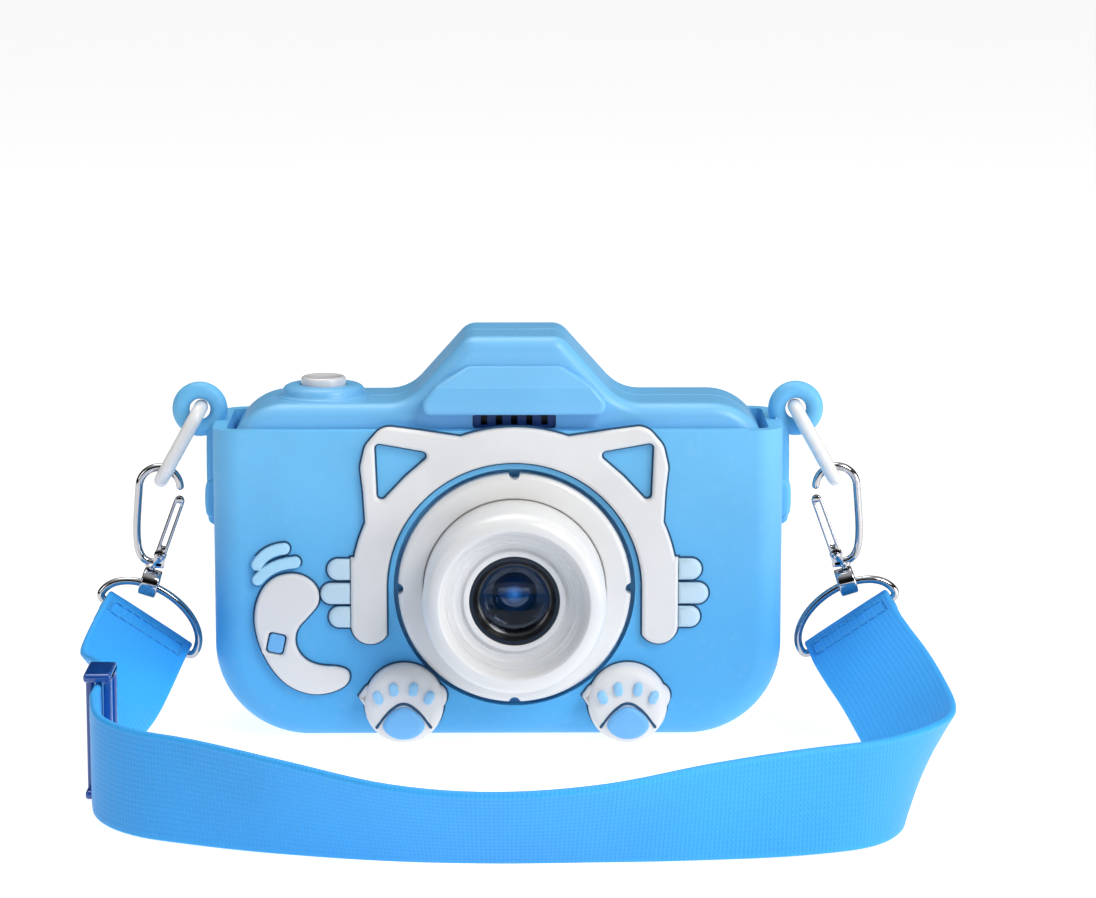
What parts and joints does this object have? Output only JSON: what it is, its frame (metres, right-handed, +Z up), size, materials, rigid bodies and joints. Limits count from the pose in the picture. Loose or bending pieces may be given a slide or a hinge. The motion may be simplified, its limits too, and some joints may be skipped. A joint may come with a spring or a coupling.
{
  "type": "kids digital camera",
  "caption": "Small camera in a soft case with a cat motif, round lens, rear screen with round keys, and a flat neck strap on swivel snap hooks.",
  "frame": {"origin": "on the surface it stands on, under the middle of the case, halfway between its front and back walls", "axes": "+X to the viewer's right when facing the lens, -Y out of the lens, +Z up"},
  "size_m": [0.1343, 0.1068, 0.0645],
  "materials": {
    "case_silicone": "soft satin silicone",
    "white_silicone": "satin silicone",
    "pale_silicone": "satin silicone",
    "body_plastic": "fine satin moulding",
    "white_plastic": "semi-gloss",
    "silver_plastic": "semi-gloss",
    "black_plastic": "matt",
    "dark_plastic": "matt",
    "black_window": "polished",
    "display": "polished",
    "lens_glass": "coated glass",
    "circuit_board": "solder resist",
    "battery_foil": "foil pouch",
    "tin": "tinned sheet",
    "screw_steel": "blackened",
    "link_plastic": "semi-gloss nylon",
    "chrome_wire": "bright plated",
    "webbing": "woven polyester",
    "navy_plastic": "semi-gloss"
  },
  "bodies": {
    "camera": {"silicone_case": "case_silicone", "cat_relief": "white_silicone", "cat_fingers": "pale_silicone", "tail_relief": "white_silicone", "tail_badge": "case_silicone", "tail_stripes": "pale_silicone", "paw_left": "white_silicone", "paw_right": "white_silicone", "paw_pads": "case_silicone", "front_shell": "body_plastic", "rear_shell": "body_plastic", "speaker_grille": "dark_plastic", "lens_ring": "white_plastic", "lens_barrel": "white_plastic", "lens_bezel": "black_plastic", "lens_glass": "lens_glass", "lens_cell": "black_plastic", "camera_module": "black_plastic", "shutter_switch": "black_plastic", "viewfinder_window": "black_window", "selfie_module": "black_plastic", "screen_window": "black_window", "lcd_panel": "display", "button_switches": "black_plastic", "main_board": "circuit_board", "board_chips": "black_plastic", "battery": "battery_foil", "speaker": "black_plastic", "microphone": "tin", "usb_socket": "tin", "card_socket": "tin", "case_screws": "screw_steel", "swivel_left": "chrome_wire", "swivel_right": "chrome_wire", "ring_left": "chrome_wire", "ring_right": "chrome_wire", "strap": "webbing", "strap_ends": "webbing"},
    "shutter": {"shutter_button": "silver_plastic"},
    "power_key": {"power_button": "white_plastic"},
    "up_key": {"up_button": "white_plastic"},
    "left_key": {"left_button": "white_plastic"},
    "right_key": {"right_button": "white_plastic"},
    "down_key": {"down_button": "white_plastic"},
    "card": {"memory_card": "black_plastic"},
    "left_link": {"link_left": "link_plastic"},
    "right_link": {"link_right": "link_plastic"},
    "left_hook": {"hook_left": "chrome_wire", "gate_pin_left": "chrome_wire"},
    "right_hook": {"hook_right": "chrome_wire", "gate_pin_right": "chrome_wire"},
    "left_gate": {"gate_left": "chrome_wire"},
    "right_gate": {"gate_right": "chrome_wire"},
    "slider": {"strap_slider": "navy_plastic"}
  },
  "joints": [
    {"name": "shutter_press", "type": "slide", "parent": "camera", "child": "shutter", "axis": [0, 0, -1], "range_m": [0, 0.0008], "stiffness_N_per_m": 800},
    {"name": "power_press", "type": "slide", "parent": "camera", "child": "power_key", "axis": [0, -1, 0], "range_m": [0, 0.0006], "stiffness_N_per_m": 800},
    {"name": "up_press", "type": "slide", "parent": "camera", "child": "up_key", "axis": [0, -1, 0], "range_m": [0, 0.0006], "stiffness_N_per_m": 800},
    {"name": "left_press", "type": "slide", "parent": "camera", "child": "left_key", "axis": [0, -1, 0], "range_m": [0, 0.0006], "stiffness_N_per_m": 800},
    {"name": "right_press", "type": "slide", "parent": "camera", "child": "right_key", "axis": [0, -1, 0], "range_m": [0, 0.0006], "stiffness_N_per_m": 800},
    {"name": "down_press", "type": "slide", "parent": "camera", "child": "down_key", "axis": [0, -1, 0], "range_m": [0, 0.0006], "stiffness_N_per_m": 800},
    {"name": "card_slide", "type": "slide", "parent": "camera", "child": "card", "axis": [1, 0, 0], "range_m": [0, 0.012]},
    {"name": "left_link_swing", "type": "hinge", "parent": "camera", "child": "left_link", "pos_m": [-0.0479, 0, 0.0516], "axis": [0, 1, 0], "range_deg": [-4, 1]},
    {"name": "left_hook_swivel", "type": "hinge", "parent": "camera", "child": "left_hook", "pos_m": [-0.05643, 0, 0.02309], "axis": [0.1219, 0, 0.9925], "range_deg": [-12, 12]},
    {"name": "left_gate_press", "type": "hinge", "parent": "left_hook", "child": "left_gate", "pos_m": [-0.05471, 0, 0.02761], "axis": [0, -1, 0], "range_deg": [0, 18], "stiffness_Nm_per_rad": 0.02},
    {"name": "right_link_swing", "type": "hinge", "parent": "camera", "child": "right_link", "pos_m": [0.0479, 0, 0.0516], "axis": [0, -1, 0], "range_deg": [-4, 1]},
    {"name": "right_hook_swivel", "type": "hinge", "parent": "camera", "child": "right_hook", "pos_m": [0.05643, 0, 0.02309], "axis": [-0.1219, 0, 0.9925], "range_deg": [-12, 12]},
    {"name": "right_gate_press", "type": "hinge", "parent": "right_hook", "child": "right_gate", "pos_m": [0.05471, 0, 0.02761], "axis": [0, 1, 0], "range_deg": [0, 18], "stiffness_Nm_per_rad": 0.02},
    {"name": "slider_shift", "type": "slide", "parent": "camera", "child": "slider", "axis": [0, 1, 0], "range_m": [-0.004, 0.004]}
  ]
}
